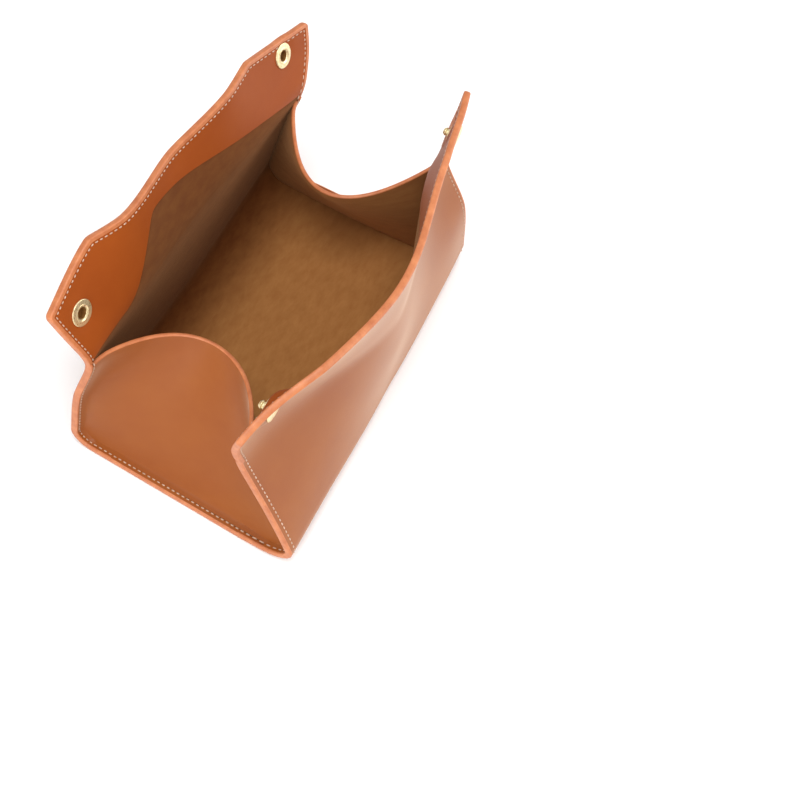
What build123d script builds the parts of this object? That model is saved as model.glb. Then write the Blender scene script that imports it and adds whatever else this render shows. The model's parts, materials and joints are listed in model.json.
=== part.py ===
from build123d import *
import os
from math import cos, radians, sin

os.makedirs("parts", exist_ok=True)

# A soft leather tissue case, standing open. Sizes are in mm, angles in degrees.
# X runs along the case, the front is at -Y, and the origin is the middle of the base.

# The sheet: leather outside, a suede or leather layer inside
leather = 1.6
inner_layer = 1.4

# The case
case_length = 220
case_width = 126
fold_radius = 11
wall_height = 75
front_lean = 12
back_lean = 8.5
front_flare = 1
back_flare = 18

# The flaps above the bend lines
tip_reach = 6
tip_height = 42
tip_round = 2.5
shoulder_inset = 40
shoulder_height = 50
shoulder_round = 8
mouth_dip = 9
hump_width = 150
hump_height = 31
hump_steepness = 0.5

# The creases, where one sheet bends as a hinge
crease_gap = 0.3
lining_channel = 2.7

# The end gussets
gusset_leather = 1.2
gusset_lining = 0.8
gusset_height = 84
near_bow = 50
far_bow = 53
bow_fullness = 0.42
gusset_clearance = 0.3
flange_width = 7
flange_overlap = 1

# The snap fasteners
snap_inset = 14
snap_height = 26
hole_clearance = 0.15
cap_radius = 6.25
cap_rim = 0.5
cap_dome = 0.6
shank_radius = 1.6
stud_flange_radius = 5
stud_flange = 0.6
stud_neck_radius = 1.8
stud_neck = 1.9
stud_head_radius = 2.2
stud_head = 1.7
stud_tip_radius = 1.4
stud_chamfer = 0.4
socket_radius = 6.5
socket_ring = 1.6
socket_bevel = 0.5
socket_bore_radius = 2.9
socket_wall = 0.8
socket_depth = 2.2
socket_floor = 0.4

half_length = case_length / 2
outer_face = leather / 2
inner_face = -outer_face - inner_layer
sheet_thickness = leather + inner_layer
seat_radius = leather / 2 + crease_gap
shoulder_x = half_length - shoulder_inset
snap_x = half_length - snap_inset
socket_barrel_radius = socket_bore_radius + socket_wall
half_width = case_width / 2
fold_centre_y = half_width - fold_radius


def sheet_plane(origin, side, lean):
    """Middle of a leather sheet that leans inwards: local y runs up it and local z points outwards."""
    outwards = (0, side * cos(radians(lean)), sin(radians(lean)))
    return Plane(origin=origin, x_dir=(-side, 0, 0), z_dir=outwards)


def crease_point(side, lean):
    """Crease above a bottom fold, in the middle of the leather."""
    radius = fold_radius - leather / 2
    along_y = side * (fold_centre_y + radius * cos(radians(lean)))
    return (0, along_y, fold_radius + radius * sin(radians(lean)))


def cross_section(depth, height):
    """Draw the case's section at a depth under its outer face, up both walls, and return its two ends."""
    radius = fold_radius - depth
    floors = []
    ends = []
    for side, lean in ((-1, front_lean), (1, back_lean)):
        turn = radians(90 + lean)
        floor = (side * fold_centre_y, depth)
        halfway = (
            side * (fold_centre_y + radius * sin(turn / 2)),
            fold_radius - radius * cos(turn / 2),
        )
        crease = (side * (fold_centre_y + radius * sin(turn)), fold_radius - radius * cos(turn))
        top = (crease[0] + side * height * cos(turn), crease[1] + height * sin(turn))
        ThreePointArc(floor, halfway, crease)
        if height > 0:
            Line(crease, top)
        floors.append(floor)
        ends.append(top)
    Line(*floors)
    return ends


def section_band(depth, thickness, height):
    """Face between two depths of the case's section."""
    with BuildLine() as outline:
        outside = cross_section(depth, height)
        inside = cross_section(depth + thickness, height)
        for outside_end, inside_end in zip(outside, inside):
            Line(outside_end, inside_end)
    make_face(outline.line)


def section_inside(depth):
    """Face of everything within a depth of the case's section, up to the bend lines."""
    with BuildLine() as outline:
        Line(*cross_section(depth, wall_height))
    make_face(outline.line)


def round_edge(plane, radius, mode):
    """Rod along a crease: added, it rounds the sheet's edge, and subtracted, it cuts the seat or channel."""
    with Locations(plane):
        Cylinder(radius, case_length, rotation=(0, 90, 0), mode=mode)


def flap_outline():
    """Flap above its bend line: a pointed tab at each end and a shallow dip between their shoulders."""
    with BuildLine() as outline:
        left = (-shoulder_x, shoulder_height)
        right = (shoulder_x, shoulder_height)
        Polyline((-half_length, 0), (-half_length - tip_reach, tip_height), left)
        ThreePointArc(left, (0, shoulder_height - mouth_dip), right)
        Polyline(right, (half_length + tip_reach, tip_height), (half_length, 0), (-half_length, 0))
    make_face(outline.line)
    fillet(vertices().filter_by(lambda v: abs(abs(v.X) - shoulder_x) < tip_reach / 2), shoulder_round)
    fillet(vertices().filter_by(lambda v: abs(v.X) > half_length + tip_reach / 2), tip_round)


def lining_hump(mode):
    """Suede that runs from the wall up onto the flap, as a low hump."""
    half = hump_width / 2
    with BuildLine() as outline:
        Bezier((-half, 0), (-half * hump_steepness, 0), (-half * hump_steepness, hump_height), (0, hump_height))
        Bezier((0, hump_height), (half * hump_steepness, hump_height), (half * hump_steepness, 0), (half, 0))
        Line((half, 0), (-half, 0))
    make_face(outline.line, mode=mode)


def snap_holes(radius):
    """One hole through each tab for its snap."""
    with Locations((-snap_x, snap_height), (snap_x, snap_height)):
        Circle(radius, mode=Mode.SUBTRACT)


def turned(profile_plane, *points):
    """Turn a half profile of (radius, height) points about the profile plane's own y axis."""
    with BuildSketch(profile_plane) as profile:
        with BuildLine():
            Polyline(*points, close=True)
        make_face()
    revolve(profile.sketch, axis=Axis(profile_plane.origin, profile_plane.y_dir))


def finish(piece, name):
    piece.part.label = name
    export_step(piece.part, f"parts/{name}.step")


front_wall_plane = sheet_plane(crease_point(-1, front_lean), -1, front_lean)
back_wall_plane = sheet_plane(crease_point(1, back_lean), 1, back_lean)
front_flap_plane = sheet_plane(front_wall_plane.from_local_coords((0, wall_height, 0)), -1, -front_flare)
back_flap_plane = sheet_plane(back_wall_plane.from_local_coords((0, wall_height, 0)), 1, -back_flare)

# Bottom of the leather strip, with a soft fold up each long side
with BuildPart() as bottom_leather:
    with BuildSketch(Plane.YZ):
        section_band(0, leather, 0)
    extrude(amount=half_length, both=True)
    for plane in (front_wall_plane, back_wall_plane):
        round_edge(plane, seat_radius, Mode.SUBTRACT)
finish(bottom_leather, "bottom_leather")

# Suede on the bottom
with BuildPart() as bottom_lining:
    with BuildSketch(Plane.YZ):
        section_band(leather, inner_layer, 0)
    extrude(amount=half_length, both=True)
    for plane in (front_wall_plane, back_wall_plane):
        round_edge(plane, lining_channel, Mode.SUBTRACT)
finish(bottom_lining, "bottom_lining")

# The two long panels: a wall, and the flap above it
sides = (
    ("front", front_wall_plane, front_flap_plane, shank_radius),
    ("back", back_wall_plane, back_flap_plane, socket_barrel_radius),
)
for side_name, wall_plane, flap_plane, fastener_radius in sides:
    with BuildPart() as wall_leather:
        with BuildSketch(wall_plane.offset(-outer_face)):
            Rectangle(case_length, wall_height, align=(Align.CENTER, Align.MIN))
        extrude(amount=leather)
        round_edge(wall_plane, leather / 2, Mode.ADD)
        round_edge(flap_plane, seat_radius, Mode.SUBTRACT)
    finish(wall_leather, f"{side_name}_wall_leather")

    with BuildPart() as wall_lining:
        with BuildSketch(wall_plane.offset(inner_face)):
            Rectangle(case_length, wall_height, align=(Align.CENTER, Align.MIN))
        extrude(amount=inner_layer)
        round_edge(wall_plane, lining_channel, Mode.SUBTRACT)
        round_edge(flap_plane, lining_channel, Mode.SUBTRACT)
    finish(wall_lining, f"{side_name}_wall_lining")

    with BuildPart() as flap_leather:
        with BuildSketch(flap_plane.offset(-outer_face)):
            flap_outline()
            snap_holes(fastener_radius + hole_clearance)
        extrude(amount=leather)
        round_edge(flap_plane, leather / 2, Mode.ADD)
    finish(flap_leather, f"{side_name}_flap_leather")

    with BuildPart() as flap_facing:
        with BuildSketch(flap_plane.offset(inner_face)):
            flap_outline()
            lining_hump(Mode.SUBTRACT)
            snap_holes(fastener_radius + hole_clearance)
        extrude(amount=inner_layer)
        round_edge(flap_plane, lining_channel, Mode.SUBTRACT)
    finish(flap_facing, f"{side_name}_flap_facing")

    with BuildPart() as flap_lining:
        with BuildSketch(flap_plane.offset(inner_face)):
            lining_hump(Mode.ADD)
        extrude(amount=inner_layer)
        round_edge(flap_plane, lining_channel, Mode.SUBTRACT)
    finish(flap_lining, f"{side_name}_flap_lining")

# End gussets: a web bowed into the case, with a flange turned outwards along its sides and bottom
floor_depth = sheet_thickness + gusset_clearance
web_depth = floor_depth + gusset_leather
wall_edges = [
    plane.from_local_coords((0, (gusset_height - plane.origin.Z) / plane.y_dir.Z, inner_face - gusset_clearance)).Y
    for plane in (front_wall_plane, back_wall_plane)
]


def space_outside(end, bow, depth, mode):
    """Space outside a gusset at a depth into its web, from a straight foot to a bowed top edge."""
    foot_x = end * (half_length - flange_width - depth)
    outside_x = end * (half_length + flange_width)
    front_y = wall_edges[0] + gusset_leather - depth
    back_y = wall_edges[1] - gusset_leather + depth
    # the middle of a cubic curve lies three quarters of the way to its two control points
    pull_x = foot_x - end * (bow - flange_width - gusset_leather) * 4 / 3
    pull_y = (back_y - front_y) * bow_fullness
    with BuildSketch(Plane.XY.offset(floor_depth)) as straight_foot:
        with BuildLine():
            Polyline((foot_x, -half_width), (outside_x, -half_width), (outside_x, half_width), (foot_x, half_width))
            Line((foot_x, half_width), (foot_x, -half_width))
        make_face()
    with BuildSketch(Plane.XY.offset(gusset_height)) as bowed_top:
        with BuildLine():
            front_end = (foot_x, front_y)
            back_end = (foot_x, back_y)
            Polyline(front_end, (outside_x, front_y), (outside_x, back_y), back_end)
            Bezier(back_end, (pull_x, back_y - pull_y), (pull_x, front_y + pull_y), front_end)
        make_face()
    loft([straight_foot.sketch, bowed_top.sketch], ruled=True, mode=mode)


for end_name, end, bow in (("near", -1, near_bow), ("far", 1, far_bow)):
    with BuildPart() as gusset:
        space_outside(end, bow, gusset_leather, Mode.ADD)
        space_outside(end, bow, 0, Mode.SUBTRACT)
        with BuildSketch(Plane.YZ.offset(-half_length)):
            section_inside(floor_depth)
        extrude(amount=case_length, mode=Mode.INTERSECT)
        flange_start = half_length - flange_width - gusset_leather - flange_overlap
        with BuildSketch(Plane.YZ.offset(end * flange_start)):
            section_band(floor_depth, gusset_leather, wall_height)
        extrude(amount=end * (half_length - flange_start))
        split(bisect_by=Plane.XY.offset(gusset_height), keep=Keep.BOTTOM)
    finish(gusset, f"{end_name}_gusset")

    with BuildPart() as gusset_suede:
        space_outside(end, bow, gusset_leather + gusset_lining, Mode.ADD)
        space_outside(end, bow, gusset_leather, Mode.SUBTRACT)
        with BuildSketch(Plane.YZ.offset(-half_length)):
            section_inside(web_depth)
        extrude(amount=case_length, mode=Mode.INTERSECT)
    finish(gusset_suede, f"{end_name}_gusset_lining")

# Snap fasteners: a cap outside each tab, studs inside the front tabs and sockets inside the back ones
for end_name, end in (("near", -1), ("far", 1)):
    for side_name, wall_plane, flap_plane, fastener_radius in sides:
        centre = flap_plane.from_local_coords((end * flap_plane.x_dir.X * snap_x, snap_height, 0))
        profile_plane = Plane(origin=centre, x_dir=flap_plane.x_dir, z_dir=-flap_plane.y_dir)
        spigot_end = inner_face if side_name == "front" else inner_face + socket_depth + socket_floor
        with BuildPart() as cap:
            turned(
                profile_plane,
                (0, spigot_end),
                (fastener_radius, spigot_end),
                (fastener_radius, outer_face),
                (cap_radius, outer_face),
                (cap_radius, outer_face + cap_rim),
                (cap_radius / 2, outer_face + cap_rim + cap_dome),
                (0, outer_face + cap_rim + cap_dome),
            )
        finish(cap, f"{side_name}_cap_{end_name}")

        if side_name == "front":
            flange_top = inner_face - stud_flange
            neck_top = flange_top - stud_neck
            head_top = neck_top - stud_head
            with BuildPart() as stud:
                turned(
                    profile_plane,
                    (0, inner_face),
                    (stud_flange_radius, inner_face),
                    (stud_flange_radius, flange_top),
                    (stud_neck_radius, flange_top),
                    (stud_neck_radius, neck_top),
                    (stud_head_radius, neck_top - stud_chamfer),
                    (stud_head_radius, head_top + stud_chamfer),
                    (stud_tip_radius, head_top),
                    (0, head_top),
                )
            finish(stud, f"front_stud_{end_name}")
        else:
            ring_top = inner_face - socket_ring
            bore_floor = inner_face + socket_depth
            with BuildPart() as socket:
                turned(
                    profile_plane,
                    (0, bore_floor + socket_floor),
                    (socket_barrel_radius, bore_floor + socket_floor),
                    (socket_barrel_radius, inner_face),
                    (socket_radius, inner_face),
                    (socket_radius, ring_top + socket_bevel),
                    (socket_radius - socket_bevel, ring_top),
                    (socket_bore_radius + socket_bevel, ring_top),
                    (socket_bore_radius, ring_top + socket_bevel),
                    (socket_bore_radius, bore_floor),
                    (0, bore_floor),
                )
            finish(socket, f"back_socket_{end_name}")
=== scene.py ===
"""Looks of a soft leather tissue case with snap flaps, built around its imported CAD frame."""

import json
from math import atan2, cos, hypot, pi, radians, sin

import bmesh
import bpy
import numpy as np
from mathutils import Matrix, Vector


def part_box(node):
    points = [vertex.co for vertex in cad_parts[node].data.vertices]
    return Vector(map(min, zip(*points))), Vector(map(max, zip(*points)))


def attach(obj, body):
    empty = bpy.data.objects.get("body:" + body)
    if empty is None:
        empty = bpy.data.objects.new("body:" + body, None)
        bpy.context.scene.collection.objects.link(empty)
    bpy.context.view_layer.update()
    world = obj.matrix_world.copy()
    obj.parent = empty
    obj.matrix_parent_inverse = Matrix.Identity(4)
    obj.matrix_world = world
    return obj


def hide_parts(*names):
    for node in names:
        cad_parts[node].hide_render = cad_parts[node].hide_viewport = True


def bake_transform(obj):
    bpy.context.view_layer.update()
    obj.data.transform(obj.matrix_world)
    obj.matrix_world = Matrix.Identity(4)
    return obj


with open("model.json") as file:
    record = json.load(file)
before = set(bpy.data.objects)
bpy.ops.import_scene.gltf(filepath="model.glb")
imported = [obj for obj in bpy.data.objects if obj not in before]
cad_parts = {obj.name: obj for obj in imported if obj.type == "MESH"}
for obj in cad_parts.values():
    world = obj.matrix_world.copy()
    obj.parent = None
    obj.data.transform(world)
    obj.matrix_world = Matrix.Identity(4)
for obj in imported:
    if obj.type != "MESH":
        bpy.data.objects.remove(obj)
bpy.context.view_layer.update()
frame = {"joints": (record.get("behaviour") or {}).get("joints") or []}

# Sizes are in mm and angles in degrees, and meshes are written in metres.
MM = 0.001
FRONT, BACK = -1, 1
NEAR, FAR = -1, 1
SIDES = {FRONT: "front", BACK: "back"}
ENDS = {NEAR: "near", FAR: "far"}

# The sheet. Its flat coordinates are u along the case and s up from the crease, in the leather's middle.
OUTER = 0.8
INNER = -0.8
FACING = -2.2
SUEDE = -1.8
HALF_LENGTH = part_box("bottom_leather")[1].x / MM
BEND_LENGTH = 22
FLARE = {FRONT: 1, BACK: 18}
# The bottom's own pieces end this far from its middle, and grids have a narrow step where they meet.
BOTTOM_CUT = 40
NARROW_STEP = 0.25
NARROW_SHARE = 0.006
# How far the floor's paler suede colour, which is painted light from above, fades out: up the front wall,
# and before the back one, so that the floor is darker near it as painted shade
FLOOR_LIGHT_FADE = {FRONT: 25, BACK: 44}

# The flap's outline above the bend line
TIP_REACH = 6
TIP_HEIGHT = 42
TIP_ROUND = 2.5
SHOULDER_X = 70
SHOULDER_HEIGHT = 50
SHOULDER_ROUND = 8
MOUTH_DIP = 9
TIGHTEST_TIP = 0.8
TIGHTEST_SHOULDER = 2
OUTLINE_STEP = 0.6
ARC_POINTS = 7

# How high the suede lining runs above the bend line: a hump that rises from its near start and then falls
# along a straight line, given by its height in the middle and its slope
HUMP_HEIGHT = {FRONT: 31, BACK: 40}
HUMP_START = {FRONT: -75, BACK: -72}
HUMP_RISE = {FRONT: 75, BACK: 62}
HUMP_FALL = {FRONT: (46, 0.62), BACK: (24.5, 0.21)}
HUMP_PEAK = 12
HUMP_LIFT = 1
HUMP_OVERLAP = 0.6

# The end gussets. A top is a level up the wall, the rise counts the fold below it too, and the slant is
# the web's height in its flat coordinates. The tongue starts at its level, and is that many columns wide on
# each side of the midline.
GUSSET_LEATHER = 1.2
GUSSET_SUEDE = 0.8
FLANGE = 5
FOOT_IN = {NEAR: 0, FAR: 4}
GUSSET_TOP = 73
GUSSET_RISE = GUSSET_TOP + 15
GUSSET_BOW = {NEAR: 46, FAR: 43}
GUSSET_DIP = {NEAR: 8, FAR: 6}
GUSSET_SKEW = {NEAR: 0.14, FAR: 0.08}
GUSSET_FULLNESS = {NEAR: 0.7, FAR: 0.9}
GUSSET_FILLET = 2.5
GUSSET_SLANT = 90
# How far the gusset's suede takes the floor's paler colour in the web's middle: painted light from above,
# fading to painted shade at the walls
GUSSET_PAINTED_LIGHT = 0.8
TONGUE_COLUMNS = 3
TONGUE_LEVEL = 0.66
TONGUE_GAP = 0.1
TONGUE_SKIN = 0.05

# Edges and stitches
EDGE_INSET = 0.5
EDGE_BULGE = 0.45
EDGE_SQUARENESS = 0.7
EDGE_TUCK = 0.97
STITCH_INSET = 3.2
FLAP_LIP = 2.0
FLAP_PROUD = 0.35
WALL_LIP = 0.9
WALL_PROUD = 0.06
GUSSET_LIP = 0.4
HEM_STITCH_INSET = 2.3
STITCH_PITCH = 3.1
STITCH_LENGTH = 2.0
THREAD = 0.36

# Snaps. The leather is flat round each as far as the seat's radius, and strays in full beyond its fade.
SNAP_X = 96
SNAP_HEIGHT = 26
SNAP_HOLE = 5.0
SEAT_RADIUS = 6
SEAT_FADE = 6

# How the limp leather strays from the plain panel: place (u, s), then the shift along, up and outwards.
# On the floor it dies out a little past the fold.
STRAY_PAST_FOLD = 12
STRAY = {
    FRONT: (
        ((-110, 0), (-6, 0, 10)),
        ((0, 0), (-0.5, -1.5, 5)),
        ((110, 0), (-3, 1.5, -1)),
        ((0, 38), (-1.5, -0.5, 15)),
        ((110, 38), (-4, 0, 2)),
        ((-110, 75), (-6, 1, -4.5)),
        ((-55, 75), (-3.5, 1, 7.5)),
        ((0, 75), (-5.5, 0, 21.5)),
        ((55, 75), (-4, 1.5, 6)),
        ((110, 75), (-6.5, -0.5, -5.5)),
        ((-116, 117), (-9.5, -2.5, 0.5)),
        ((-87, 103), (-9, -2, 0)),
        ((-70, 125), (-7, -1, 16)),
        ((0, 116), (-5.5, 0, 23.5)),
        ((70, 125), (-7, -1.5, 9.5)),
        ((103, 100), (-7, 1, 0)),
        ((85, 87), (-5, 0, -2.5)),
        ((114, 97), (-5, 1.5, -4.5)),
        ((116, 117), (-5, 3.5, -2)),
    ),
    BACK: (
        ((-110, 0), (0, 0, 1.5)),
        ((0, 0), (0, 0, 1)),
        ((110, 0), (-3, 0, 5)),
        ((-110, 38), (1.5, 0, 2.5)),
        ((-110, 75), (3.5, -1, -2)),
        ((0, 75), (-1, -2, 2)),
        ((110, 75), (-7.5, -8, -1)),
        ((-116, 117), (2.5, -1.5, -0.5)),
        ((-96, 101), (1, -1, 0)),
        ((-70, 125), (-2, 2, 0.5)),
        ((-48, 119), (-2, 0.5, -2)),
        ((0, 116), (-2, 1, 3.5)),
        ((48, 119), (-2, -3, -2)),
        ((70, 125), (-2, -6.5, -0.5)),
        ((96, 101), (1, -9, 0)),
        ((115, 93), (3, -9, -1)),
        ((116, 117), (5, -13, -2)),
    ),
}


# --- The sheet's shape -------------------------------------------------------------------------------------


def smoothstep(t):
    t = np.clip(t, 0, 1)
    return t * t * (3 - 2 * t)


def joint_point(name):
    """A joint's (y, z) in mm."""
    joint = next(j for j in frame["joints"] if j["name"] == name)
    return np.array(joint["pos_m"][1:]) / MM


CREASE = {side: joint_point(f"{name}_wall_crease") for side, name in SIDES.items()}
BEND = {side: joint_point(f"{name}_flap_bend") for side, name in SIDES.items()}
WALL_HEIGHT = hypot(*(BEND[FRONT] - CREASE[FRONT]))


class Section:
    """The strip's middle line across the case: its place and heading by distance up the sheet."""

    step = 0.25
    beyond = 60

    def __init__(self, side):
        up = BEND[side] - CREASE[side]
        lean = atan2(-side * up[0], up[1])
        radius = (CREASE[side][1] - OUTER) / (1 + sin(lean))
        turn = pi / 2 + lean
        self.arc = radius * turn
        self.s = np.arange(-self.arc - self.beyond, WALL_HEIGHT + self.beyond, self.step)
        rise = np.clip((self.s + self.arc) / self.arc, 0, 1)
        bend = smoothstep((self.s - WALL_HEIGHT + BEND_LENGTH / 2) / BEND_LENGTH)
        self.heading = turn * rise - (lean + radians(FLARE[side])) * bend
        self.y = CREASE[side][0] + side * self.path_of(np.cos(self.heading))
        self.z = CREASE[side][1] + self.path_of(np.sin(self.heading))

    def path_of(self, rate):
        total = np.concatenate([[0], np.cumsum((rate[1:] + rate[:-1]) / 2 * self.step)])
        return total - np.interp(0, self.s, total)

    def at(self, s):
        return [np.interp(s, self.s, values) for values in (self.y, self.z, self.heading)]


def thin_plate(places, shifts, unit=100):
    """Smooth field that has the given shifts at the given places."""
    places = np.array(places, float) / unit
    count = len(places)

    def swell(a, b):
        gap = ((a[..., None, :] - b) ** 2).sum(-1)
        return gap * np.log(gap + 1e-9)

    plane = np.c_[np.ones(count), places]
    system = np.block([[swell(places, places), plane], [plane.T, np.zeros((3, 3))]])
    weights = np.linalg.solve(system, np.r_[np.array(shifts, float), np.zeros((3, 3))])

    def field(u, s):
        here = np.stack([u, s], -1) / unit
        return swell(here, places) @ weights[:count] + weights[count] + here @ weights[count + 1:]

    return field


SECTION = {side: Section(side) for side in SIDES}
FIELD = {side: thin_plate(*zip(*STRAY[side])) for side in SIDES}


def drawn(u, y):
    """How far the bottom is drawn along: between the shifts of the two walls' feet."""
    front, back = CREASE[FRONT][0], CREASE[BACK][0]
    share = np.clip((y - front) / (back - front), 0, 1)
    foot = 0 * (u + share)
    return FIELD[FRONT](u, foot)[..., 0] * (1 - share) + FIELD[BACK](u, foot)[..., 0] * share


def bottom(u, y, z):
    """Point of the bottom, in mm."""
    u, y, z = np.broadcast_arrays(*(np.asarray(a, float) for a in (u, y, z)))
    return np.stack([u + drawn(u, y), y, z], -1)


def middle(side, u, s):
    """Middle of the leather at flat coordinates, in mm."""
    y, z, _ = SECTION[side].at(s)
    heading = SECTION[side].at(np.maximum(s, 0))[2]
    reach = SECTION[side].arc + STRAY_PAST_FOLD
    fade = smoothstep((s + reach) / reach)
    along, up, out = np.moveaxis(FIELD[side](u, np.maximum(s, 0)), -1, 0)
    along, up, out = np.where(s < 0, drawn(u, y), along), up * fade, out * fade
    for end in ENDS:
        from_snap = np.hypot(u + along - end * SNAP_X, s + up - WALL_HEIGHT - SNAP_HEIGHT)
        out = out * smoothstep((from_snap - SEAT_RADIUS) / SEAT_FADE)
    return np.stack(
        [
            u + along,
            y + side * (up * np.cos(heading) + out * np.sin(heading)),
            z + up * np.sin(heading) - out * np.cos(heading),
        ],
        -1,
    )


def sheet(side, u, s, n):
    """Points at n outwards from the leather's middle, in mm."""
    u, s, n = np.broadcast_arrays(*(np.asarray(a, float) for a in (u, s, n)))
    reach = 0.4
    across = middle(side, u + reach, s) - middle(side, u - reach, s)
    upwards = middle(side, u, s + reach) - middle(side, u, s - reach)
    normal = -side * np.cross(across, upwards)
    normal /= np.linalg.norm(normal, axis=-1, keepdims=True)
    return middle(side, u, s) + normal * n[..., None]


# --- Outlines ----------------------------------------------------------------------------------------------


def run_along(line):
    """Distance along a line of points, from its start to each of them."""
    return np.r_[0, np.cumsum(np.linalg.norm(np.diff(line, axis=0), axis=1))]


def rounded(corners, radii):
    """Dense line through corners, with an arc of its own radius at each inner one."""
    corners = np.array(corners, float)
    points = [corners[0]]
    for before, corner, after, radius in zip(corners, corners[1:], corners[2:], radii[1:]):
        back = (before - corner) / np.linalg.norm(before - corner)
        ahead = (after - corner) / np.linalg.norm(after - corner)
        half = np.arccos(np.clip(back @ ahead, -1, 1)) / 2
        if radius <= 0 or half > pi / 2 - 1e-3:
            points.append(corner)
            continue
        run = radius / np.tan(half)
        centre = corner + (back + ahead) / np.linalg.norm(back + ahead) * radius / sin(half)
        start, end = corner + back * run, corner + ahead * run
        for t in np.linspace(0, 1, ARC_POINTS):
            spoke = start + (end - start) * t - centre
            points.append(centre + spoke / np.linalg.norm(spoke) * radius)
    points.append(corners[-1])
    points = np.array(points)
    length = run_along(points)
    spots = np.linspace(0, length[-1], int(length[-1] / OUTLINE_STEP) + 1)
    return np.stack([np.interp(spots, length, points[:, k]) for k in (0, 1)], -1)


def inset_corners(corners, inset):
    """Corners of a line moved to its right by inset."""
    corners = np.array(corners, float)
    ways = np.diff(corners, axis=0)
    ways /= np.linalg.norm(ways, axis=1)[:, None]
    sides = np.stack([ways[:, 1], -ways[:, 0]], -1)
    moved = [corners[0] + sides[0] * inset]
    for corner, first, second in zip(corners[1:], sides, sides[1:]):
        moved.append(corner + (first + second) * inset / (1 + first @ second))
    moved.append(corners[-1] + sides[-1] * inset)
    return np.array(moved)


def flap_rim(inset=0):
    """The flap's outline from its near bend line round to the far one, as (u, height above the bend)."""
    share = np.linspace(-1, 1, 25)
    dip = np.stack([SHOULDER_X * share, SHOULDER_HEIGHT - MOUTH_DIP * (1 - share**2)], -1)
    tip = HALF_LENGTH + TIP_REACH
    corners = [(-HALF_LENGTH, 0), (-tip, TIP_HEIGHT), *dip, (tip, TIP_HEIGHT), (HALF_LENGTH, 0)]
    radii = [0.0] * len(corners)
    radii[1] = radii[-2] = max(TIP_ROUND - inset, TIGHTEST_TIP)
    radii[2] = radii[-3] = max(SHOULDER_ROUND - inset, TIGHTEST_SHOULDER)
    moved = inset_corners(corners, inset)
    # both ends go straight down the wall from the bend line
    moved[0] = (-HALF_LENGTH + inset, 0)
    moved[-1] = (HALF_LENGTH - inset, 0)
    return rounded(moved, radii)


def top_of(rim, share):
    """Points along a rim's top, at shares from -1 to 1 between its tips, and the sides below the tips."""
    slant = 0.2
    first = np.argmin(rim[:, 0] - slant * rim[:, 1])
    last = np.argmax(rim[:, 0] + slant * rim[:, 1])
    top = rim[first:last + 1]
    length = run_along(top)
    where = (share + 1) / 2 * length[-1]
    return np.stack([np.interp(where, length, top[:, k]) for k in (0, 1)], -1), rim[:first + 1], rim[last:]


def hump(side, u):
    """Height above the bend line to which the suede lining runs."""
    top, slope = HUMP_FALL[side]
    rise = HUMP_HEIGHT[side] * smoothstep((u - HUMP_START[side]) / HUMP_RISE[side])
    fall = np.maximum(top - slope * u, 0)
    # the two sides meet in a rounded peak
    return (rise + fall - np.sqrt((rise - fall) ** 2 + HUMP_PEAK)) / 2 + HUMP_LIFT


# --- Meshes ------------------------------------------------------------------------------------------------


def make_object(name, points, faces, flat, floor=None, smooth_angle=40):
    """Mesh object from points in mm, with a UV map of flat sheet coordinates in metres."""
    mesh = bpy.data.meshes.new(name)
    mesh.from_pydata((np.asarray(points) * MM).tolist(), [], [list(map(int, f)) for f in faces])
    layer = mesh.uv_layers.new(name="flat")
    corner = np.zeros(len(mesh.loops), int)
    mesh.loops.foreach_get("vertex_index", corner)
    layer.data.foreach_set("uv", (np.asarray(flat)[corner] * MM).astype(np.float32).ravel())
    if floor is not None:
        layer = mesh.attributes.new("floor", "FLOAT", "POINT")
        layer.data.foreach_set("value", np.asarray(floor, np.float32))
    work = bmesh.new()
    work.from_mesh(mesh)
    bmesh.ops.recalc_face_normals(work, faces=work.faces)
    work.to_mesh(mesh)
    work.free()
    mesh.shade_smooth()
    mesh.set_sharp_from_angle(angle=radians(smooth_angle))
    piece = bpy.data.objects.new(name, mesh)
    bpy.context.scene.collection.objects.link(piece)
    return piece


def slab(name, outer, inner, flat, keep=None, floor=None):
    """Closed sheet between two grids of points. floor is how far each point takes the floor's paler suede
    colour, which is painted light.
    """
    rows, columns = outer.shape[:2]
    count = rows * columns
    index = np.arange(count).reshape(rows, columns)
    cells = np.stack([index[:-1, :-1], index[1:, :-1], index[1:, 1:], index[:-1, 1:]], -1)
    tops = cells.reshape(-1, 4) if keep is None else cells[keep]
    edges = {(int(f[k]), int(f[(k + 1) % 4])) for f in tops for k in range(4)}
    walls = [(b, a, a + count, b + count) for a, b in edges if (b, a) not in edges]
    faces = [*tops, *(tops[:, ::-1] + count), *sorted(walls)]
    points = np.concatenate([outer.reshape(-1, 3), inner.reshape(-1, 3)])
    both = np.concatenate([flat.reshape(-1, 2)] * 2)
    share = None if floor is None else np.concatenate([floor.ravel()] * 2)
    return make_object(name, points, faces, both, share)


def tube(name, rings, flat):
    """Tube with closed ends through rings of points: an array of rows, each a ring."""
    rows, around = rings.shape[:2]
    index = np.arange(rows * around).reshape(rows, around)
    turned = np.roll(index, -1, axis=1)
    faces = list(np.stack([index[:-1], index[1:], turned[1:], turned[:-1]], -1).reshape(-1, 4))
    faces += [index[0][::-1], index[-1]]
    return make_object(name, rings.reshape(-1, 3), faces, flat.reshape(-1, 2))


def flat_of(u, s):
    return np.stack(np.broadcast_arrays(u, s), -1)


def even(start, end, step, fine_start=False, fine_end=False):
    """Evenly spaced values, with one narrow step where the sheet is cut, so that both sides shade alike."""
    values = np.linspace(start, end, max(2, int(abs(end - start) / step) + 1))
    narrow = NARROW_STEP * np.sign(end - start)
    if fine_start:
        values = np.insert(values, 1, start + narrow)
    if fine_end:
        values = np.insert(values, -1, end - narrow)
    return values


# Where the grids have their points along the case and across its bottom
ALONG = np.linspace(-HALF_LENGTH + EDGE_INSET, HALF_LENGTH - EDGE_INSET, 89)
ACROSS = np.linspace(-BOTTOM_CUT, BOTTOM_CUT, 27)


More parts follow.
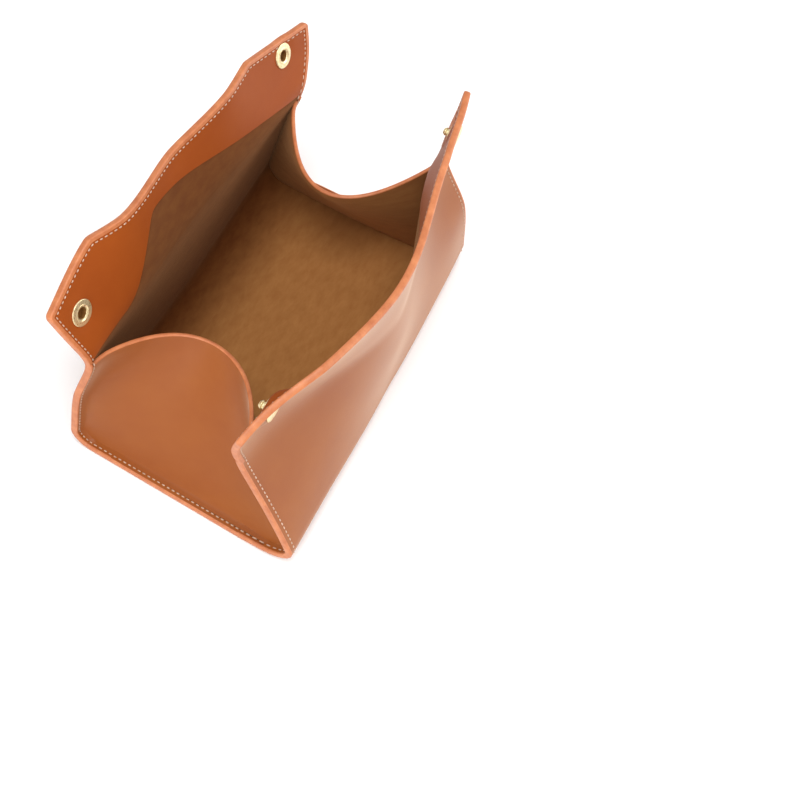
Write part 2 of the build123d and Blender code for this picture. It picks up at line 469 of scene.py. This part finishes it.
def wall_levels(side):
    """Levels from the cut in the bottom, round the fold and up to the bend line."""
    section = SECTION[side]
    fold = -section.arc
    cut = fold - (abs(section.y[np.argmin(np.abs(section.s - fold))]) - BOTTOM_CUT)
    floor = even(cut, fold, step=3, fine_start=True)
    arc = even(fold, 0, step=1.5)
    wall = even(0, WALL_HEIGHT, step=2.5, fine_end=True)
    return np.concatenate([floor[:-1], arc[:-1], wall])


def flap_grid(inset, low):
    """Grid from a lower line, whose height by u is low, up to the flap's rim, in flat coordinates."""
    rows, columns = 26, 141
    rim = flap_rim(inset)
    share = np.linspace(-1, 1, columns)
    top, near_side, far_side = top_of(rim, share)
    foot_u = share * (HALF_LENGTH - inset)
    up = even(0, 1, step=1 / rows, fine_start=True)
    up[1] = NARROW_SHARE
    u = foot_u[:, None] + (top[:, :1] - foot_u[:, None]) * up
    low_here = low(u)
    v = low_here + (top[:, 1:] - low_here) * up
    for row, line in ((0, near_side), (-1, far_side)):
        length = run_along(line)
        at = up if row == 0 else 1 - up
        u[row] = np.interp(at * length[-1], length, line[:, 0])
        v[row] = np.interp(at * length[-1], length, line[:, 1])
    return u, v + WALL_HEIGHT


# --- Materials ---------------------------------------------------------------------------------------------


def new_material(name, colour, roughness, **sockets):
    material = bpy.data.materials.new(name)
    material.use_nodes = True
    shader = material.node_tree.nodes["Principled BSDF"]
    shader.inputs["Base Color"].default_value = (*colour, 1)
    shader.inputs["Roughness"].default_value = roughness
    for socket, value in sockets.items():
        shader.inputs[socket.replace("_", " ")].default_value = value
    return material, material.node_tree, shader


def srgb(code):
    """Linear colour from a hex code."""
    values = [int(code[k:k + 2], 16) / 255 for k in (1, 3, 5)]
    return tuple(v / 12.92 if v <= 0.04045 else ((v + 0.055) / 1.055) ** 2.4 for v in values)


def add_noise(tree, scale, detail=3, roughness=0.5, stretch=(1, 1, 1)):
    """Noise over the sheet's flat coordinates, with its scale in lumps per metre."""
    coordinates = tree.nodes.new("ShaderNodeUVMap")
    coordinates.uv_map = "flat"
    mapping = tree.nodes.new("ShaderNodeMapping")
    mapping.inputs["Scale"].default_value = stretch
    noise = tree.nodes.new("ShaderNodeTexNoise")
    noise.inputs["Scale"].default_value = scale
    noise.inputs["Detail"].default_value = detail
    noise.inputs["Roughness"].default_value = roughness
    tree.links.new(coordinates.outputs["UV"], mapping.inputs["Vector"])
    tree.links.new(mapping.outputs["Vector"], noise.inputs["Vector"])
    return noise.outputs["Fac"]


def add_ramp(tree, value, *stops):
    """Colour ramp over a value: stops of (place, colour)."""
    ramp = tree.nodes.new("ShaderNodeValToRGB")
    elements = ramp.color_ramp.elements
    while len(elements) < len(stops):
        elements.new(0.5)
    for element, (place, colour) in zip(elements, stops):
        element.position = place
        element.color = (*colour, 1) if len(colour) == 3 else colour
    tree.links.new(value, ramp.inputs["Fac"])
    return ramp.outputs["Color"]


def add_bump(tree, shader, *heights):
    """Chain of bumps: (height socket, depth in mm, strength)."""
    previous = None
    for height, depth, strength in heights:
        bump = tree.nodes.new("ShaderNodeBump")
        bump.inputs["Strength"].default_value = strength
        bump.inputs["Distance"].default_value = depth * MM
        tree.links.new(height, bump.inputs["Height"])
        if previous:
            tree.links.new(previous, bump.inputs["Normal"])
        previous = bump.outputs["Normal"]
    tree.links.new(previous, shader.inputs["Normal"])


def grey(value):
    return (value, value, value)


def leather_material(name, dark, light, roughness, coat, sheen):
    material, tree, shader = new_material(
        name, srgb(light), roughness, Coat_Weight=coat, Coat_Roughness=0.35, Specular_IOR_Level=0.2
    )
    shader.inputs["Sheen Weight"].default_value = sheen
    shader.inputs["Sheen Roughness"].default_value = 0.35
    shader.inputs["Sheen Tint"].default_value = (*srgb("#FFE8CC"), 1)
    cloud = add_noise(tree, 22, 4, 0.6)
    tree.links.new(add_ramp(tree, cloud, (0.3, srgb(dark)), (0.7, srgb(light))), shader.inputs["Base Color"])
    fine = add_noise(tree, 1500, 4, 0.6)
    pores = add_noise(tree, 420, 2, 0.5)
    rough = add_ramp(tree, fine, (0.25, grey(roughness - 0.06)), (0.8, grey(roughness + 0.08)))
    tree.links.new(rough, shader.inputs["Roughness"])
    add_bump(tree, shader, (pores, 0.12, 0.12), (fine, 0.05, 0.2))
    return material


def suede_material(name, dark, light, lit_floor_dark, lit_floor_light):
    """Suede, with a paler colour on the case's floor, mixed in by the floor attribute: painted light from
    above.
    """
    material, tree, shader = new_material(name, srgb(light), 0.95, Sheen_Weight=0.35, Sheen_Roughness=0.5)
    shader.inputs["Specular IOR Level"].default_value = 0.15
    shader.inputs["Sheen Tint"].default_value = (*srgb("#C9976A"), 1)
    nap = add_noise(tree, 90, 5, 0.65, (1, 2.2, 1))
    share = tree.nodes.new("ShaderNodeAttribute")
    share.attribute_name = "floor"
    mix = tree.nodes.new("ShaderNodeMixRGB")
    tree.links.new(share.outputs["Fac"], mix.inputs["Fac"])
    # the second pair of colours is painted light: the floor's suede, paler where light from above falls on
    # it
    for socket, low, high in (("Color1", dark, light), ("Color2", lit_floor_dark, lit_floor_light)):
        colour = add_ramp(tree, nap, (0.3, srgb(low)), (0.72, srgb(high)))
        tree.links.new(colour, mix.inputs[socket])
    tree.links.new(mix.outputs["Color"], shader.inputs["Base Color"])
    add_bump(tree, shader, (add_noise(tree, 2600, 3, 0.7), 0.12, 0.5), (nap, 0.5, 0.12))
    return material


def brass_material(name, dark, light, roughness, metallic):
    material, tree, shader = new_material(name, srgb(light), roughness, Metallic=metallic)
    coordinates = tree.nodes.new("ShaderNodeTexCoord")
    noise = tree.nodes.new("ShaderNodeTexNoise")
    noise.inputs["Scale"].default_value = 900
    tree.links.new(coordinates.outputs["Object"], noise.inputs["Vector"])
    wear = noise.outputs["Fac"]
    rough = add_ramp(tree, wear, (0.3, grey(roughness - 0.08)), (0.75, grey(roughness + 0.08)))
    tree.links.new(rough, shader.inputs["Roughness"])
    colour = add_ramp(tree, wear, (0.3, srgb(dark)), (0.7, srgb(light)))
    tree.links.new(colour, shader.inputs["Base Color"])
    return material


def thread_material():
    material, tree, shader = new_material("thread", srgb("#CDBBAC"), 0.6, Sheen_Weight=0.2)
    twist = add_noise(tree, 1400, 2, 0.5, (1, 0.35, 1))
    colour = add_ramp(tree, twist, (0.3, srgb("#A8846C")), (0.7, srgb("#D2B39C")))
    tree.links.new(colour, shader.inputs["Base Color"])
    add_bump(tree, shader, (twist, 0.15, 0.6))
    return material


def edge_material():
    material, tree, shader = new_material("edge_paint", srgb("#C07244"), 0.5, Coat_Weight=0.05)
    cloud = add_noise(tree, 160, 3, 0.6)
    colour = add_ramp(tree, cloud, (0.3, srgb("#B26338")), (0.7, srgb("#CC7E4E")))
    tree.links.new(colour, shader.inputs["Base Color"])
    add_bump(tree, shader, (add_noise(tree, 900, 3, 0.6), 0.08, 0.25))
    return material


TAN = leather_material("tan_leather", "#8D4817", "#97531D", 0.42, 0.14, 0.4)
FACING_LEATHER = leather_material("smooth_facing", "#92420F", "#9D4B14", 0.55, 0.0, 0.06)
SUEDE_NAP = suede_material("suede", "#5D2F10", "#6D3E19", "#A46C3A", "#B47C46")
GILT = brass_material("gilt_brass", "#E4CE98", "#F2E2B8", 0.34, 0.7)
# Painted shade: this darker, duller brass lines the sockets' bores, standing in for the shade inside them
SHADED_BRASS = brass_material("shaded_brass", "#7C5426", "#8E642F", 0.6, 0.4)
THREAD_LOOK = thread_material()
EDGE_LOOK = edge_material()


# --- Pieces baked in place, and their materials ------------------------------------------------------------


def follow_wall(piece):
    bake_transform(piece)


def follow_flap(piece):
    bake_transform(piece)


def dress(piece, material):
    piece.data.materials.append(material)
    return piece


# --- The strip of leather and its inner layer --------------------------------------------------------------


def floor_light_share(side, s, y):
    """How far a place takes the floor's paler suede colour, painted light from above: it fades out up the
    front wall, and before the back one, leaving painted shade by it.
    """
    if side == BACK:
        return smoothstep((CREASE[BACK][0] - y) / FLOOR_LIGHT_FADE[BACK]) * (s < 0)
    return smoothstep((FLOOR_LIGHT_FADE[FRONT] - s) / (FLOOR_LIGHT_FADE[FRONT] + SECTION[FRONT].arc))


def panel_piece(name, side, u, s, outer, inner, keep=None):
    # floor is painted light: the floor's paler suede colour, fading up the walls
    floor = floor_light_share(side, s, SECTION[side].at(s)[0])
    return slab(name, sheet(side, u, s, outer), sheet(side, u, s, inner), flat_of(u, s), keep, floor)


def clear_of_snaps(u, s, side):
    """Cells of a flap grid outside the sockets' barrels."""
    keep = np.ones((u.shape[0] - 1, u.shape[1] - 1), bool)
    if side == FRONT:
        return keep
    here = sheet(side, u, s, 0)
    middle_points = (here[1:, 1:] + here[:-1, :-1] + here[1:, :-1] + here[:-1, 1:]) / 4
    for end in ENDS:
        centre = snap_frame(side, end)[0]
        keep &= np.linalg.norm(middle_points - centre, axis=-1) > SNAP_HOLE
    return keep


def snap_frame(side, end):
    """Centre of a snap in the leather's middle, in mm, with the ways out of the case and up the flap."""
    flare = radians(FLARE[side])
    up = np.array([0, side * sin(flare), cos(flare)])
    out = np.array([0, side * cos(flare), -sin(flare)])
    return np.array([end * SNAP_X, *BEND[side]]) + up * SNAP_HEIGHT, out, up


def build_panels():
    for side, name in SIDES.items():
        u, s = np.meshgrid(ALONG, wall_levels(side), indexing="ij")
        wall = panel_piece(f"{name}_wall_sheet", side, u, s, OUTER, INNER)
        dress(wall, TAN)
        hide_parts(f"{name}_wall_leather")
        follow_wall(wall)
        suede = panel_piece(f"{name}_wall_suede", side, u, s, INNER, SUEDE)
        dress(suede, SUEDE_NAP)
        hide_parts(f"{name}_wall_lining")
        follow_wall(suede)

        u, s = flap_grid(EDGE_INSET, lambda x: 0 * x)
        keep = clear_of_snaps(u, s, side)
        flap = panel_piece(f"{name}_flap_sheet", side, u, s, OUTER, INNER, keep)
        dress(flap, TAN)
        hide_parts(f"{name}_flap_leather")
        follow_flap(flap)

        u, s = flap_grid(EDGE_INSET, lambda x, side=side: hump(side, x))
        keep = clear_of_snaps(u, s, side)
        facing = panel_piece(f"{name}_flap_inner", side, u, s, INNER, FACING, keep)
        dress(facing, FACING_LEATHER)
        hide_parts(f"{name}_flap_facing")
        follow_flap(facing)

        rows, columns = 12, 121
        up = even(0, 1, step=1 / rows, fine_start=True)
        share, up = np.meshgrid(np.linspace(-1, 1, columns), up, indexing="ij")
        rise = up * (hump(side, share * HALF_LENGTH) + HUMP_OVERLAP)
        u = share * (HALF_LENGTH - EDGE_INSET + rise * TIP_REACH / TIP_HEIGHT)
        s = WALL_HEIGHT + rise
        lining = panel_piece(f"{name}_hump", side, u, s, INNER, SUEDE)
        dress(lining, SUEDE_NAP)
        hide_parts(f"{name}_flap_lining")
        follow_flap(lining)


def build_bottom():
    u, y = np.meshgrid(ALONG, ACROSS, indexing="ij")
    leather = slab("bottom_sheet", bottom(u, y, 0), bottom(u, y, OUTER - INNER), flat_of(u, y))
    dress(leather, TAN)
    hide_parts("bottom_leather")
    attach(leather, "base")
    faces = bottom(u, y, OUTER - INNER), bottom(u, y, OUTER - SUEDE)
    # the floor attribute paints light from above on the floor's suede, with painted shade towards the back
    # wall
    suede = slab("bottom_suede", *faces, flat_of(u, y), floor=floor_light_share(BACK, -1, y))
    dress(suede, SUEDE_NAP)
    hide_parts("bottom_lining")
    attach(suede, "base")


# --- Gussets -----------------------------------------------------------------------------------------------

GUSSET_FACE = SUEDE - 0.05
HEM_FACE = GUSSET_FACE - GUSSET_LEATHER


def flange_width(end, level):
    """Width of the gusset's flange at a level from its foot to its top."""
    return FLANGE + FOOT_IN[end] * (1 - level) ** 2


def gusset_web(end, levels, across):
    """Web's inner face: a grid by level up both walls and by share across from the front to the back."""
    grid = []
    for level in levels:
        flange_x = end * (HALF_LENGTH - flange_width(end, level))
        ends = []
        for side in (FRONT, BACK):
            s = -SECTION[side].arc + level * (SECTION[side].arc + GUSSET_TOP)
            ends.append(sheet(side, flange_x, s, GUSSET_FACE))
        front, back = ends
        line = front + (back - front) * across[:, None]
        eased = across + GUSSET_SKEW[end] * np.sin(2 * pi * across) / (2 * pi)
        bulge = level * np.sin(pi * eased).clip(0) ** GUSSET_FULLNESS[end]
        gap = np.linalg.norm(back - front) * np.minimum(across, 1 - across)
        gap = np.minimum(gap, level * GUSSET_RISE)
        fillet = GUSSET_FILLET * np.clip(1 - gap / GUSSET_FILLET, 0, 1) ** 2
        line[:, 0] += end * (fillet - GUSSET_BOW[end] * bulge)
        line[:, 2] -= GUSSET_DIP[end] * level * bulge
        grid.append(line)
    return np.array(grid)


def grid_normals(grid, towards):
    """Unit normals of a grid, on the side of a direction."""
    normal = np.cross(np.gradient(grid, axis=0), np.gradient(grid, axis=1))
    normal /= np.linalg.norm(normal, axis=-1, keepdims=True) + 1e-9
    return normal * np.sign((normal * towards).sum(-1, keepdims=True))


def gusset_steps():
    """Shares across the web, closer together at the walls and the midline, and the midline's index."""
    midline = 0.5
    at_wall = np.array([0, 0.01, 0.02, 0.035, 0.05])
    between = np.linspace(0.07, midline - 0.045, 20)
    at_midline = midline - np.array([0.035, 0.02, 0.005, 0])
    front = np.concatenate([at_wall, between, at_midline])
    return np.concatenate([front, 1 - front[-2::-1]]), len(front) - 1


def build_gusset_half(end, side, web, normal, flat, nap):
    """The half of a gusset on one wall's side: leather, suede and the painted edge along its top."""
    name = f"{ENDS[end]}_gusset"
    outer = web + normal * GUSSET_LEATHER
    inner = web - normal * GUSSET_SUEDE
    leather = slab(f"{name}_{SIDES[side]}_half", outer, web, flat)
    dress(leather, TAN)
    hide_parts(name)
    follow_wall(leather)
    # nap is painted light: the floor's paler suede colour over the web's middle, with painted shade at the
    # walls
    suede = slab(f"{name}_{SIDES[side]}_suede", web, inner, flat, floor=nap)
    dress(suede, SUEDE_NAP)
    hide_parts(f"{name}_lining")
    follow_wall(suede)
    edge = edging_along(f"{name}_{SIDES[side]}_edge", outer[-1], inner[-1], web[-1] - web[-2])
    follow_wall(edge)


def build_gusset_flange(end, side):
    """The flange that joins a gusset to one wall."""
    arc = even(-SECTION[side].arc, 0, step=2)
    s = np.concatenate([arc, even(0, GUSSET_TOP, step=3)[1:]])
    level = (s + SECTION[side].arc) / (SECTION[side].arc + GUSSET_TOP)
    inmost = HALF_LENGTH - flange_width(end, level) + GUSSET_FILLET
    share, s = np.meshgrid(np.linspace(0, 1, 5), s, indexing="ij")
    u = end * (inmost + (HALF_LENGTH - EDGE_INSET - inmost) * share)
    faces = sheet(side, u, s, GUSSET_FACE), sheet(side, u, s, HEM_FACE)
    flange = slab(f"{ENDS[end]}_gusset_{SIDES[side]}_flange", *faces, flat_of(u, s))
    dress(flange, TAN)
    follow_wall(flange)


def build_gusset_tongue(end, web, normal, flat):
    """A tongue inside the web, which keeps the midline closed as the two halves part."""
    name = f"{ENDS[end]}_gusset_tongue"
    faces = web + normal * (GUSSET_LEATHER - TONGUE_GAP), web + normal * TONGUE_SKIN
    tongue = slab(name, *faces, flat)
    dress(tongue, TAN)
    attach(tongue, "base")
    tongue = slab(f"{name}_suede", web, web - normal * (GUSSET_SUEDE - TONGUE_GAP), flat)
    dress(tongue, SUEDE_NAP)
    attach(tongue, "base")


def build_gusset_foot(end, front, back):
    """The flange that joins a gusset to the bottom, between two places across it."""
    outmost = HALF_LENGTH - EDGE_INSET
    x = end * np.linspace(HALF_LENGTH - flange_width(end, 0) + GUSSET_FILLET, outmost, 5)
    u, y = np.meshgrid(x, np.linspace(front, back, 30), indexing="ij")
    faces = bottom(u, y, OUTER - GUSSET_FACE), bottom(u, y, OUTER - HEM_FACE)
    flange = slab(f"{ENDS[end]}_gusset_bottom_flange", *faces, flat_of(u, y))
    dress(flange, TAN)
    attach(flange, "base")


def build_gusset(end):
    levels = np.concatenate([np.linspace(0, 0.06, 6)[:-1], np.linspace(0.06, 1, 34)])
    across, midline = gusset_steps()
    web = gusset_web(end, levels, across)
    normal = grid_normals(web, np.array([end, 0, 0.0]))
    width = np.linalg.norm(web[-1, 0] - web[-1, -1])
    flat = flat_of((across - 0.5)[None, :] * width, (levels * GUSSET_SLANT)[:, None])
    # painted light: the paler floor colour across the web's middle, fading out as painted shade towards the
    # walls
    nap = GUSSET_PAINTED_LIGHT * np.sin(pi * across).clip(0) ** 0.6 * np.ones(len(levels))[:, None]
    for side, half in ((FRONT, slice(0, midline + 1)), (BACK, slice(midline, None))):
        build_gusset_half(end, side, *(grid[:, half] for grid in (web, normal, flat, nap)))
        build_gusset_flange(end, side)
    top = levels >= TONGUE_LEVEL
    tongue = slice(midline - TONGUE_COLUMNS, midline + TONGUE_COLUMNS + 1)
    build_gusset_tongue(end, *(grid[top][:, tongue] for grid in (web, normal, flat)))
    build_gusset_foot(end, -abs(web[0, 0, 1]), abs(web[0, -1, 1]))


# --- Edges -------------------------------------------------------------------------------------------------


def edge_profile(thickness, lip, proud):
    """Rounded cross-section over a cut edge: rows of (outwards from the outline, level from its middle)."""
    half = thickness / 2 + proud
    angle = np.linspace(pi / 2, -pi / 2, 11)
    round_off = np.abs(np.cos(angle)) ** EDGE_SQUARENESS
    outwards = -EDGE_INSET + (EDGE_INSET + EDGE_BULGE) * round_off
    height = half * np.sign(np.sin(angle)) * np.abs(np.sin(angle)) ** EDGE_SQUARENESS
    rows = np.stack([outwards, height], -1)
    return np.concatenate([[(-lip, half * EDGE_TUCK)], rows, [(-lip, -half * EDGE_TUCK)]])


def edging(name, side, path, outwards, top, bottom, lip, proud):
    """Painted edge along a path in flat coordinates."""
    profile = edge_profile(top - bottom, lip, proud)
    centre = (top + bottom) / 2
    outwards = np.broadcast_to(outwards, path.shape)
    u = path[:, :1] + outwards[:, :1] * profile[:, 0]
    s = path[:, 1:] + outwards[:, 1:] * profile[:, 0]
    n = np.broadcast_to(centre + profile[:, 1], u.shape)
    flat = flat_of(run_along(path)[:, None], run_along(profile)[None, :])
    return dress(tube(name, sheet(side, u, s, n), flat), EDGE_LOOK)


def edging_along(name, outer_line, inner_line, ahead):
    """Painted edge along the free edge between two lines of points, in mm."""
    ahead = ahead / np.linalg.norm(ahead, axis=-1, keepdims=True)
    across = outer_line - inner_line
    thickness = np.linalg.norm(across, axis=-1).mean()
    across = across / np.linalg.norm(across, axis=-1, keepdims=True)
    centre = (outer_line + inner_line) / 2
    profile = edge_profile(thickness, GUSSET_LIP, WALL_PROUD)
    rings = (
        centre[:, None]
        + ahead[:, None] * (profile[:, 0, None] + EDGE_INSET)[None]
        + across[:, None] * profile[:, 1, None][None]
    )
    flat = flat_of(run_along(centre)[:, None], run_along(profile)[None, :])
    return dress(tube(name, rings, flat), EDGE_LOOK)


def path_normals(path):
    """Unit normals to the left of a path."""
    way = np.gradient(path, axis=0)
    way /= np.linalg.norm(way, axis=1)[:, None]
    return np.stack([-way[:, 1], way[:, 0]], -1)


def build_edges():
    for side, name in SIDES.items():
        rim = flap_rim() + [0, WALL_HEIGHT]
        outwards = path_normals(rim)
        outwards[0], outwards[-1] = (-1, 0), (1, 0)
        edge = edging(f"{name}_flap_edge", side, rim, outwards, OUTER, FACING, FLAP_LIP, FLAP_PROUD)
        follow_flap(edge)
        for end, end_name in ENDS.items():
            path = flat_of(end * HALF_LENGTH, wall_levels(side))
            outwards = np.array([end, 0.0])
            sizes = OUTER, HEM_FACE, WALL_LIP, WALL_PROUD
            edge = edging(f"{name}_wall_edge_{end_name}", side, path, outwards, *sizes)
            follow_wall(edge)
    for end, end_name in ENDS.items():
        low = bottom(end * (HALF_LENGTH - EDGE_INSET), ACROSS, 0)
        high = low + [0, 0, OUTER - HEM_FACE]
        ahead = np.tile([end, 0.0, 0.0], (len(ACROSS), 1))
        edge = edging_along(f"bottom_edge_{end_name}", low, high, ahead)
        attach(edge, "base")


# --- Stitches ----------------------------------------------------------------------------------------------


def stitches(name, place, path, faces):
    """Stitches along a path of (u, s), on faces of (level, outward sign). place(u, s, n) gives points."""
    length = run_along(path)
    count = max(1, round(length[-1] / STITCH_PITCH))
    pitch = length[-1] / count
    ring_share = np.array([-0.5, -0.42, -0.2, 0.0, 0.2, 0.42, 0.5])
    ring_radius = THREAD * np.array([0.35, 0.8, 1, 1, 1, 0.8, 0.35])
    ring_height = THREAD * np.array([-1.1, -0.4, 0.0, 0.1, 0.0, -0.4, -1.1])
    around = np.linspace(0, 2 * pi, 9)[:-1]
    spots = (np.arange(count) + 0.5) * pitch
    along = spots[:, None] + ring_share * STITCH_LENGTH
    centre = np.stack([np.interp(along, length, path[:, k]) for k in (0, 1)], -1)
    left = path_normals(path)
    aside = np.stack([np.interp(along, length, left[:, k]) for k in (0, 1)], -1)
    points, faces_out, flats = [], [], []
    base = 0
    for level, sign in faces:
        sideways = np.cos(around) * ring_radius[:, None]
        height = sign * (ring_height[:, None] + np.sin(around) * ring_radius[:, None])
        u = centre[..., 0, None] + aside[..., 0, None] * sideways
        s = centre[..., 1, None] + aside[..., 1, None] * sideways
        n = np.broadcast_to(level + height, u.shape)
        placed = place(u, s, n)
        rings, sides = len(ring_share), len(around)
        index = np.arange(count * rings * sides).reshape(count, rings, sides) + base
        turned = np.roll(index, -1, axis=2)
        quads = np.stack([index[:, :-1], index[:, 1:], turned[:, 1:], turned[:, :-1]], -1).reshape(-1, 4)
        faces_out += list(quads) + list(index[:, 0, ::-1]) + list(index[:, -1])
        points.append(placed.reshape(-1, 3))
        flats.append(flat_of(u, s).reshape(-1, 2))
        base += index.size
    piece = make_object(name, np.concatenate(points), faces_out, np.concatenate(flats), smooth_angle=80)
    return dress(piece, THREAD_LOOK)


WALL_SEAMS = (("outer", STITCH_INSET, (OUTER, 1)), ("inner", HEM_STITCH_INSET, (HEM_FACE, -1)))


def build_stitches():
    for side, name in SIDES.items():

        def place(u, s, n, side=side):
            return sheet(side, u, s, n)

        rim = flap_rim(STITCH_INSET) + [0, WALL_HEIGHT]
        piece = stitches(f"{name}_flap_stitches", place, rim, ((OUTER, 1), (FACING, -1)))
        follow_flap(piece)
        for end, end_name in ENDS.items():
            for row, inset, face in WALL_SEAMS:
                path = flat_of(end * (HALF_LENGTH - inset), wall_levels(side))
                piece = stitches(f"{name}_wall_stitches_{row}_{end_name}", place, path, (face,))
                follow_wall(piece)
    for end, end_name in ENDS.items():

        def place_bottom(u, s, n):
            return bottom(u, s, OUTER - n)

        y = np.linspace(-BOTTOM_CUT, BOTTOM_CUT, 40)
        path = flat_of(end * (HALF_LENGTH - HEM_STITCH_INSET), y)
        piece = stitches(f"bottom_stitches_{end_name}", place_bottom, path, ((HEM_FACE, -1),))
        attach(piece, "base")


# --- Snaps -------------------------------------------------------------------------------------------------


def lathe(name, profile, side, end, material=GILT):
    """Piece turned about a snap's axis: profile rows are (radius, outwards from the leather's middle)."""
    centre, out, up = snap_frame(side, end)
    across = np.cross(out, up)
    angle = np.linspace(0, 2 * pi, 49)[:-1]
    profile = np.array(profile, float)
    spokes = np.cos(angle)[:, None] * across + np.sin(angle)[:, None] * up
    rings = centre + profile[:, 0, None, None] * spokes + profile[:, 1, None, None] * out
    flat = flat_of(angle[None, :] * 5, profile[:, 1, None])
    return dress(tube(name, rings, flat), material)


def arc_rows(centre, radius, start, end, count=6):
    angle = np.radians(np.linspace(start, end, count))
    return [(centre[0] + radius * cos(a), centre[1] + radius * sin(a)) for a in angle]


# Profiles of the snaps' pieces, from axis to axis. A radius of almost 0 keeps the ends' rings open.
AXIS = 0.02
CAP = [
    (AXIS, OUTER - 0.3),
    (5.6, OUTER - 0.1),
    *arc_rows((5.75, OUTER + 0.45), 0.5, -70, 80),
    (5.0, OUTER + 1.05),
    (3.6, OUTER + 1.22),
    (2.0, OUTER + 1.33),
    (AXIS, OUTER + 1.36),
]
STUD = [
    (AXIS, FACING + 0.2),
    (4.7, FACING + 0.1),
    *arc_rows((4.7, FACING - 0.3), 0.32, 60, -80),
    (3.6, FACING - 0.62),
    *arc_rows((2.3, FACING - 1.05), 0.45, 90, 180),
    (1.75, FACING - 2.2),
    *arc_rows((1.75, FACING - 2.9), 0.5, 60, -60),
    (1.5, FACING - 4.1),
    (0.9, FACING - 4.2),
    (AXIS, FACING - 4.2),
]
SOCKET = [
    (AXIS, FACING + 2.6),
    (3.7, FACING + 2.6),
    (3.7, FACING + 0.1),
    (6.6, FACING + 0.1),
    *arc_rows((6.5, FACING - 0.35), 0.45, 60, -80),
    (5.9, FACING - 0.8),
    (5.2, FACING - 0.95),
    *arc_rows((4.2, FACING - 0.75), 0.35, -40, -140),
    (3.3, FACING - 0.7),
    (2.9, FACING + 0.2),
    (2.9, FACING + 2.2),
    (AXIS, FACING + 2.2),
]
# The well lines a socket's bore in darker brass: painted shade inside it
WELL = [
    (AXIS, FACING + 2.15),
    (2.88, FACING + 2.15),
    (2.88, FACING - 0.5),
    (2.7, FACING - 0.5),
    (2.7, FACING + 1.95),
    (AXIS, FACING + 1.95),
]


def build_snaps():
    for side, name in SIDES.items():
        for end, end_name in ENDS.items():
            piece = lathe(f"{name}_snap_cap_{end_name}", CAP, side, end)
            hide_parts(f"{name}_cap_{end_name}")
            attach(piece, f"{name}_flap")
            if side == FRONT:
                piece = lathe(f"front_snap_stud_{end_name}", STUD, side, end)
                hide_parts(f"front_stud_{end_name}")
            else:
                piece = lathe(f"back_snap_socket_{end_name}", SOCKET, side, end)
                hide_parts(f"back_socket_{end_name}")
                # painted shade: the socket's bore lined in darker brass
                cup = lathe(f"back_snap_well_{end_name}", WELL, side, end, SHADED_BRASS)
                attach(cup, f"{name}_flap")
            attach(piece, f"{name}_flap")


# --- Camera, light and floor -------------------------------------------------------------------------------


PHOTO_WIDTH = 800
SENSOR_WIDTH = 36


def add_camera():
    """The photograph's view: where the camera stands, its right, down and ahead, and its focal length."""
    place = (-0.4000, -0.2065, 0.7203)
    right = (0.460007, -0.882681, 0.09627)
    down = (-0.746242, -0.443084, -0.49679)
    ahead = (0.481163, 0.156686, -0.862515)
    focal_pixels = 1500
    camera = bpy.data.cameras.new("camera")
    camera.sensor_width = SENSOR_WIDTH
    camera.lens = SENSOR_WIDTH * focal_pixels / PHOTO_WIDTH
    camera.clip_start = 0.01
    eye = bpy.data.objects.new("camera", camera)
    columns = [right, [-d for d in down], [-a for a in ahead], place]
    eye.matrix_world = Matrix([[*row, float(k == 3)] for k, row in enumerate(columns)]).transposed()
    bpy.context.scene.collection.objects.link(eye)
    bpy.context.scene.camera = eye


def add_lamp(name, place, target, size, power):
    lamp = bpy.data.lights.new(name, "AREA")
    lamp.size = size
    lamp.energy = power
    holder = bpy.data.objects.new(name, lamp)
    holder.location = place
    holder.rotation_euler = (Vector(target) - Vector(place)).to_track_quat("-Z", "Y").to_euler()
    bpy.context.scene.collection.objects.link(holder)


def add_light():
    world = bpy.data.worlds.new("world")
    bpy.context.scene.world = world
    world.use_nodes = True
    sky = world.node_tree.nodes["Background"]
    sky.inputs["Color"].default_value = (1, 1, 1, 1)
    sky.inputs["Strength"].default_value = 0.62
    add_lamp("key", (-1.0, -0.2, 0.5), (0, 0, 0.05), 0.8, 6)
    add_lamp("fill", (0.9, -0.8, 0.5), (0, 0, 0.05), 0.8, 8.5)
    add_lamp("top", (-0.3, -0.1, 1.3), (0, 0, 0), 0.6, 9)


def add_floor():
    """White ground, a hair below the case."""
    reach = 6
    level = -0.0004
    mesh = bpy.data.meshes.new("floor")
    corners = [(x * reach, y * reach, level) for x, y in ((-1, -1), (1, -1), (1, 1), (-1, 1))]
    mesh.from_pydata(corners, [], [(0, 1, 2, 3)])
    floor = bpy.data.objects.new("floor", mesh)
    bpy.context.scene.collection.objects.link(floor)
    mesh.materials.append(new_material("floor", (1, 1, 1), 0.9)[0])


build_panels()
build_bottom()
for gusset_end in ENDS:
    build_gusset(gusset_end)
build_edges()
build_stitches()
build_snaps()
add_camera()
add_light()
add_floor()

bpy.context.scene.view_settings.view_transform = "Standard"
